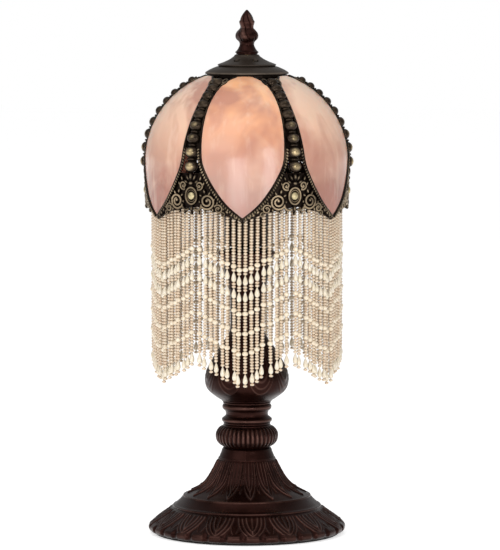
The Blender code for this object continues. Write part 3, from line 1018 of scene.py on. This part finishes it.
def add_glass(index):
    azimuth = index * STEP
    # The four petals off the front and back axis take the copy whose paleness is painted reflection.
    glass = SLANT_SHEEN_GLASS if index % 3 else PEACH_GLASS
    columns = 28
    build = Build()
    rows = []
    edge = [(half, z) for half, z in petal_edge(5) if half > 0.4]
    for half, z in edge:
        across = [math.radians(half * (2 * j / columns - 1)) * dome_radius(z) for j in range(columns + 1)]
        outside = [on_dome(azimuth, a, z, GLASS_THICKNESS / 2) for a in across]
        inside = [on_dome(azimuth, a, z, -GLASS_THICKNESS / 2) for a in reversed(across)]
        rows.append(outside + inside)
    build.grid(rows)
    ring = len(rows[0])
    build.cap(0, ring, True)
    build.cap((len(rows) - 1) * ring, ring, False)
    mesh = build.mesh("petal_glass")
    place_piece(f"petal_glass_{index + 1}", mesh, "shade", [glass], f"glass_petal_{index + 1}")


# ---- The cast ribs ----

PLATE_OUT = -1.5
PLATE_THICKNESS = 1.6
STEM_HALF = 3.6
SLOT_TOP_Z = 305.0
SLOT_FOOT_Z = 284.0
FOOT_MIDDLE_Z = 258.0
FOOT_TIP_Z = low_z("rib_1") + 0.3
SCALLOPS = 9
SCROLL_RADIUS = 1.05
# Leaves and drops between the scrolls: (across, z, half width, half height, lean)
LEAVES = [
    (28.6, 255.0, 1.5, 2.1, 40),
    (31.8, 252.6, 1.3, 1.8, 45),
    (34.6, 250.8, 1.1, 1.5, 50),
    (18.4, 263.6, 1.2, 2.6, -40),
    (21.2, 261.6, 1.1, 2.2, -15),
    (15.2, 268.8, 1.1, 2.4, -35),
    (11.2, 270.2, 1.2, 2.2, 20),
    (8.2, 267.2, 1.1, 1.8, 60),
    (10.6, 275.8, 1.0, 2.2, -30),
    (8.2, 280.0, 1.0, 2.2, -20),
    (5.8, 272.4, 0.9, 1.2, 0),
    (17.6, 256.4, 1.2, 2.0, 10),
    (26.0, 257.4, 1.0, 1.6, 30),
    (7.2, 262.4, 1.0, 1.4, 0),
    (6.0, 254.6, 1.2, 1.8, 30),
    (11.4, 255.0, 1.1, 1.6, -10),
]


class Casting(Build):
    """A rib's casting, drawn flat as (across, z) from its middle line and laid on the dome."""

    def __init__(self, azimuth):
        super().__init__()
        self.azimuth = azimuth

    def plate(self, rows):
        """A thin plate. Each of its rows holds (across, z) from left to right."""
        front = PLATE_OUT + PLATE_THICKNESS
        points = []
        for row in rows:
            outside = [on_dome(self.azimuth, a, z, front) for a, z in row]
            inside = [on_dome(self.azimuth, a, z, PLATE_OUT) for a, z in reversed(row)]
            points.append(outside + inside)
        start = len(self.points)
        ring = len(points[0])
        self.grid(points)
        self.cap(start, ring, True)
        self.cap(start + (len(points) - 1) * ring, ring, False)

    def wire(self, flat, radius, out, wear, sides=6):
        path = [on_dome(self.azimuth, a, z, out) for a, z in flat]
        up = [facing(self.azimuth, a, z)[1] for a, z in flat]
        self.tube(path, radius, sides, wear, up=up)

    def ball(self, across, z, size, out, wear, segments=8, rings=6, lean=0.0):
        """An egg with half width, half depth and half height, leaning sideways by an angle."""
        side, outward, along = facing(self.azimuth, across, z)
        turn = math.radians(lean)
        first = side * math.cos(turn) + along * math.sin(turn)
        second = along * math.cos(turn) - side * math.sin(turn)
        axes = (first * size[0], outward * size[1], second * size[2])
        self.egg(on_dome(self.azimuth, across, z, out), axes, segments, rings, wear)


def spiral(centre, radius, end_radius, start, sweep, steps=22):
    """A flat spiral about a centre. Its angles are in degrees from sideways, anticlockwise."""
    flat = []
    for i in range(steps + 1):
        share = i / steps
        away = radius + (end_radius - radius) * share
        turn = math.radians(start + sweep * share)
        flat.append((centre[0] + away * math.cos(turn), centre[1] + away * math.sin(turn)))
    return flat


def mirrored(flat, side):
    return [(a * side, z) for a, z in flat]


def stem_rows():
    """The rib's narrow part: as wide as its gap above the slots, and a bar between them."""
    rows = []
    edge = [(half, z) for half, z in petal_edge(3) if z > SLOT_FOOT_Z and half > 15]
    for half, z in edge:
        full = spread(half, z) + 0.3
        share = min(1.0, max(0.0, (z - SLOT_TOP_Z + 5) / 5))
        wide = STEM_HALF + (full - STEM_HALF) * share
        rows.append([(wide * s, z) for s in (-1, -0.5, 0, 0.5, 1)])
    return rows


def foot_rows():
    """The rib's spreading part, from under the slots to its scalloped lower edge: a solid plate behind the
    scrolls, whose near-black colour is painted shade for the dark seen through the real casting's piercings.
    """
    rows = []
    columns = 8 * SCALLOPS
    edge = [(half, z) for half, z in petal_edge(6) if z <= SLOT_FOOT_Z]
    for half, z in edge:
        share = (SLOT_FOOT_Z - z) / (SLOT_FOOT_Z - GLASS_TIP_Z)
        middle = SLOT_FOOT_Z - share * (SLOT_FOOT_Z - FOOT_MIDDLE_Z)
        end = z - share * (GLASS_TIP_Z - FOOT_TIP_Z)
        full = spread(half, z)
        row = []
        for j in range(columns + 1):
            s = 2 * j / columns - 1
            lobe = abs(math.sin(math.pi * SCALLOPS * j / columns))
            low = middle + (end - middle) * abs(s) ** 1.7
            row.append((full * s, low + 1.4 * share**3 * (0.6 - lobe) * (1 - abs(s))))
        rows.append(row)
    return rows


def add_cames(rib):
    """The channels that hold the glass, plain above and roped along the petals' lower edges."""
    for side in (-1, 1):
        line = [(side * (spread(half, z) - 0.1), z) for half, z in petal_edge(6)]
        line = line[CAME_START:]
        rib.wire(line, CAME_WIDTH / 2, 0.5, 0.30, sides=8)
        gone = 0.0
        for (a, z), (next_a, next_z) in zip(line, line[1:]):
            length = math.hypot(next_a - a, next_z - z)
            while z < ROPE_TOP_Z and gone < length:
                share = gone / length
                here = (a + (next_a - a) * share - side * 1.5, z + (next_z - z) * share - 0.3)
                lean = math.degrees(math.atan2(next_z - z, next_a - a)) + 90
                rib.ball(*here, (1.35, 1.2, 1.0), 1.5, 1.0, 6, 5, lean + side * 30)
                gone += ROPE_PITCH
            gone = max(0.0, gone - length)


def add_rib_beads(rib):
    z = LOWEST_BEAD_Z
    for k in range(BEADS):
        share = k / (BEADS - 1)
        size = [a + (b - a) * share for a, b in zip(BEAD_SIZE, TOP_BEAD_SIZE)]
        rib.ball(0, z, size, BEAD_OUT, 1.0 - 0.7 * min(1.0, max(0.0, (k - 1) / 3)), 18, 12)
        pitch = BEAD_PITCH + (TOP_BEAD_PITCH - BEAD_PITCH) * share
        rib.ball(0, climb(z, pitch / 2), (size[0] * 0.66, size[1] * 0.6, 1.2), BEAD_OUT, 0.2, 14, 6)
        z = climb(z, pitch)


def add_scrolls(rib):
    """The foot's ornament: an oval ring round the boss, with scrolls, leaves and drops on each side, and a
    small scroll on each side at the head.
    """
    turns = [math.radians(turn) for turn in range(0, 375, 15)]
    ring = [(4.85 * math.cos(turn), BOSS_Z + 6.3 * math.sin(turn)) for turn in turns]
    rib.wire(ring, 0.9, 1.2, 0.9)
    rib.wire([(a * 0.74, BOSS_Z + (z - BOSS_Z) * 0.70) for a, z in ring], 0.5, 1.1, 0.7)
    rib.ball(0, 257.2, (1.7, 1.3, 3.0), 1.0, 0.6, 10, 7)
    rib.ball(0, 253.6, (1.3, 1.2, 1.4), 0.9, 0.5, 8, 6)
    rib.ball(0, 281.6, (1.7, 1.5, 3.4), 1.3, 0.7, 10, 7)
    rib.ball(0, 276.4, (2.4, 1.4, 1.6), 1.2, 0.8, 10, 6)
    for side in (-1, 1):
        rib.ball(side * 3.0, 280.6, (1.3, 1.1, 3.0), 1.1, 0.7, 8, 6, side * -28)
        rib.ball(side * 4.6, 277.4, (1.1, 1.0, 2.4), 1.0, 0.7, 8, 6, side * -58)
        large = spiral((13.4, 262.6), 6.1, 1.9, -150, 600, 38)
        rib.wire(mirrored(large, side), SCROLL_RADIUS, 1.2, 0.9)
        tail = catmull([(2.2, 256.6), (5.6, 256.0), (8.3, 258.4), (8.4, 260.4)], 4)
        rib.wire(mirrored(tail, side), SCROLL_RADIUS, 1.1, 0.8)
        rib.ball(side * 13.2, 263.4, (1.6, 1.3, 1.6), 1.3, 1.0)
        small = spiral((22.0, 257.0), 3.6, 1.0, 150, -480, 26)
        rib.wire(mirrored(small, side), SCROLL_RADIUS * 0.85, 1.1, 0.85)
        rib.ball(side * 22.0, 257.0, (1.1, 1.0, 1.1), 1.2, 0.9)
        upper = spiral((7.0, 274.6), 3.4, 0.9, -120, 460, 26)
        rib.wire(mirrored(upper, side), SCROLL_RADIUS * 0.85, 1.1, 0.85)
        rib.ball(side * 7.0, 274.6, (1.0, 0.9, 1.0), 1.2, 0.9)
        hook = spiral((25.2, 252.9), 1.9, 0.6, 120, -360, 16)
        rib.wire(mirrored(hook, side), SCROLL_RADIUS * 0.7, 1.0, 0.7)
        for across, z, wide, tall, lean in LEAVES:
            rib.ball(side * across, z, (wide, 1.3, tall), 1.0, 0.8, 8, 6, side * lean)
        crown = spiral((5.2, 350.6), 2.3, 0.7, -90, 420, 20)
        rib.wire(mirrored(crown, side), SCROLL_RADIUS * 0.8, 1.2, 0.6)


def add_rib(index):
    azimuth = (index + 0.5) * STEP
    rib = Casting(azimuth)
    rib.plate(stem_rows())
    rib.plate(foot_rows())
    add_cames(rib)
    add_scrolls(rib)
    mesh = rib.mesh("rib_casting", 50)
    place_piece(f"rib_casting_{index + 1}", mesh, "shade", [RIB_BRONZE_RUB_AND_SHADE], f"rib_{index + 1}")
    beads = Casting(azimuth)
    add_rib_beads(beads)
    place_piece(f"rib_beads_{index + 1}", beads.mesh("rib_beads", 60), "shade", [BEAD_BRONZE])
    boss = Casting(azimuth)
    boss.ball(0, BOSS_Z, (2.85, 1.7, 2.95), 1.3, 0.0, 20, 10)
    place_piece(f"rib_boss_{index + 1}", boss.mesh("rib_boss", 60), "shade", [BOSS_BRASS])


def add_crown_flange():
    """The thin ring that the ribs' heads and the glass lie on, which closes the gap under the cap."""
    build = Build()
    rows = []
    for turn in range(0, 360, 5):
        outside = [on_dome(turn, 0, z, -FLANGE_DEPTH) for z in FLANGE_HEIGHTS]
        inside = [on_dome(turn, 0, z, -FLANGE_DEPTH - FLANGE_THICKNESS) for z in reversed(FLANGE_HEIGHTS)]
        rows.append(outside + inside)
    build.grid(rows, closed_v=True)
    place_piece("crown_flange", build.mesh("crown_flange"), "shade", [RIB_BRONZE_RUB_AND_SHADE])


# ---- The fringe ----


def drop_waist(turn):
    """A teardrop's girth, from its pointed top to its round foot."""
    return math.sin(turn) * (0.98 - 0.52 * math.cos(turn)) / 1.16


def hang_strand(build, azimuth, top_z, rng):
    turn = math.radians(azimuth)
    side = Vector((math.cos(turn), math.sin(turn), 0))
    out = Vector((math.sin(turn), -math.cos(turn), 0))
    lean = rng.gauss(0, 0.75)
    bow = rng.gauss(0, 0.45)
    top = out * (STRAND_RADIUS + rng.uniform(-0.3, 0.3)) + Vector((0, 0, top_z + rng.uniform(-1.5, 0.5)))

    def at(down):
        share = down / STRAND_LENGTH
        return top + side * (lean * share + bow * math.sin(math.pi * share)) - Vector((0, 0, down))

    beads = {"s": (SEED, 10, 6, 0), "p": (PEARL, 14, 8, 1), "d": (DROP, 12, 10, 2)}
    down = 0.0
    for letter in STRING:
        (radius, pitch), segments, rings, kind = beads[letter]
        grown = radius * rng.uniform(0.95, 1.04)
        centre = at(down + pitch / 2)
        half = pitch / 2 * 0.99
        axes = (side * grown, out * grown, Vector((0, 0, half)))
        build.egg(centre, axes, segments, rings, kind=kind, waist=drop_waist if letter == "d" else None)
        down += pitch
    path = [at(-1.8), at(down * 0.5), at(down - 2.0)]
    build.tube(path, THREAD_RADIUS, 5, up=[out] * 3)


def add_fringe(index):
    rng = random.Random(40 + index)
    build = Build()
    count = STRANDS[index % 2]
    for j in range(count):
        turn = (j / (count - 1) - 0.5) * math.degrees(STRAND_SPAN / STRAND_RADIUS) + rng.gauss(0, 0.12)
        top_z = STRAND_TOP_Z + FRINGE_RISE * abs(turn) / FRINGE_HALF_ANGLE
        hang_strand(build, index * STEP + turn, top_z, rng)
    mesh = build.mesh("bead_fringe", 80)
    kinds = [SEED_PEARL, ROUND_PEARL, DROP_PEARL]
    number = index + 1
    place_piece(f"bead_fringe_{number}", mesh, f"fringe_{number}", kinds, f"fringe_strands_{number}")


def add_tape(index):
    """The tape that the strands hang from, glued inside the rim and mitred at the petal's tip."""
    radius = -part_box("fringe_tape_1")[0].y / MM - 0.4
    reach = math.radians(FRINGE_HALF_ANGLE) * radius
    tall = TAPE_WIDTH * math.hypot(reach, FRINGE_RISE) / reach
    rows = []
    for j in range(41):
        turn = FRINGE_HALF_ANGLE * (j / 20 - 1)
        z = TAPE_FOOT_Z + FRINGE_RISE * abs(turn) / FRINGE_HALF_ANGLE
        around = math.radians(index * STEP + turn)
        out = Vector((math.sin(around), -math.cos(around), 0))
        rows.append(
            [
                out * (radius + TAPE_HALF_THICKNESS) + Vector((0, 0, z)),
                out * (radius + TAPE_HALF_THICKNESS) + Vector((0, 0, z + tall)),
                out * (radius - TAPE_HALF_THICKNESS) + Vector((0, 0, z + tall)),
                out * (radius - TAPE_HALF_THICKNESS) + Vector((0, 0, z)),
            ]
        )
    build = Build()
    build.grid(rows)
    build.cap(0, 4, False)
    build.cap(4 * (len(rows) - 1), 4, True)
    mesh = build.mesh("header_tape")
    tape = place_piece(f"header_tape_{index + 1}", mesh, "shade", [TAPE], f"fringe_tape_{index + 1}")


# ---- The harp ----


def add_harp():
    low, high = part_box("harp_wire")
    foot = low.z / MM
    arch = high.z / MM - HARP_WIRE_RADIUS
    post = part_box("harp_ferrule_back")[0].y / MM + 3.3
    leg = [(post, foot), (post, foot + 15.7), (33.5, 268), (36.5, 296), (33.5, 330), (22.0, 355), (0, arch)]
    line = leg + [(-y, z) for y, z in reversed(leg[:-1])]
    path = [Vector((0, p.x, p.y)) for p in catmull(line, 8)]
    build = Build()
    build.tube(path, HARP_WIRE_RADIUS, 14, up=[Vector((1, 0, 0))] * len(path))
    place_piece("harp_bow", build.mesh("harp_bow"), "root", [SOCKET], "harp_wire")


# ---- The whole lamp ----

KEPT = {
    "felt_pad": FELT,
    "ballast_weight": IRON,
    "foot_washer": STEEL,
    "foot_nut": STEEL,
    "lamp_pipe": STEEL,
    "bulb_contact": STEEL,
    "harp_saddle": SOCKET,
    "saddle_nut": SOCKET,
    "harp_stud": BRASS,
    "harp_ferrule_front": SOCKET,
    "harp_ferrule_back": SOCKET,
    "key_shaft": SOCKET,
    "key_knob": PHENOLIC,
    "socket_shell": SOCKET,
    "socket_liner": FIBRE,
    "socket_core": PORCELAIN,
    "screw_shell": BRASS,
    "centre_contact": BRASS,
    "crown_ring": RIB_BRONZE_RUB_AND_SHADE,
    "finial_insert": BRASS,
}


def finish_kept_nodes():
    for name, material in KEPT.items():
        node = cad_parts[name]
        node.data.materials.clear()
        node.data.materials.append(material)


add_camera()
add_studio()
add_floor()
add_foot()
add_collar()
add_neck()
add_vase()
add_cup()
add_bushing()
add_socket()
add_bulb()
add_harp()
for number in range(PETALS):
    add_glass(number)
    add_rib(number)
    add_fringe(number)
for number in range(PETALS):
    add_tape(number)
add_crown_flange()
add_cap()
add_finial()
finish_kept_nodes()

bpy.context.view_layer.update()
